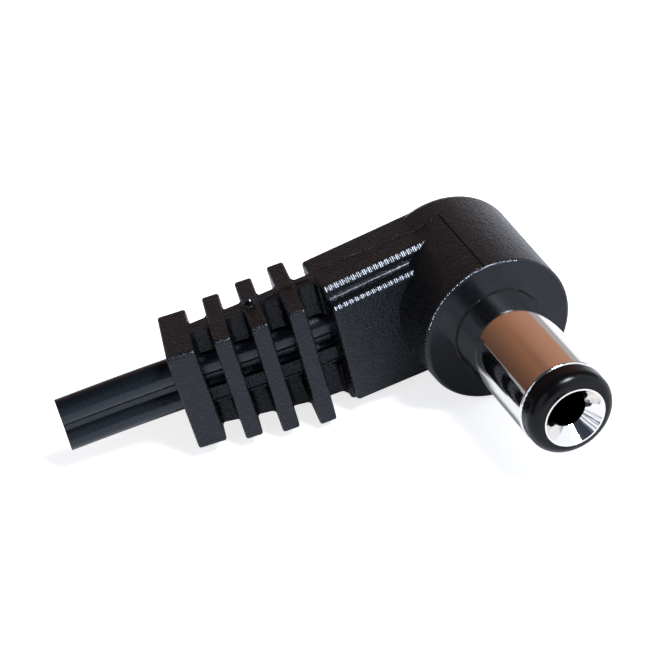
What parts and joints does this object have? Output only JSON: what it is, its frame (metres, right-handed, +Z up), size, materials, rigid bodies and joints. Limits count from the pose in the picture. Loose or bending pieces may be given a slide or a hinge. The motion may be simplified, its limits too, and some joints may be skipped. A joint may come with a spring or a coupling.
{
  "type": "right-angle dc power plug with cable stub",
  "caption": "Moulded black right-angle DC barrel plug with a nickel-plated sleeve, ribbed strain relief and a short stub of flat two-core cable.",
  "frame": {"origin": "on the barrel's axis, in the plane of the head's front face, where the barrel comes out", "axes": "-Y along the barrel towards its tip, -X along the arm towards the cable, +Z up"},
  "size_m": [0.0302, 0.0209, 0.0098],
  "materials": {
    "overmould_pvc": "fine spark-eroded grain, smooth glossy front face",
    "nickel": "bright nickel plate on brass",
    "tip_plastic": "smooth, glossy",
    "washer_fibre": "plain",
    "cable_pvc": "satin extruded surface",
    "copper": "bare copper strands",
    "solder": "bright tin solder"
  },
  "bodies": {
    "root": {"overmould": "overmould_pvc", "outer_sleeve": "nickel", "tip_insulator": "tip_plastic", "centre_contact": "nickel", "rear_insulator": "washer_fibre", "sleeve_lug": "nickel", "cable_insulation": "cable_pvc", "centre_conductor": "copper", "sleeve_conductor": "copper", "centre_solder": "solder", "sleeve_solder": "solder"}
  },
  "joints": []
}
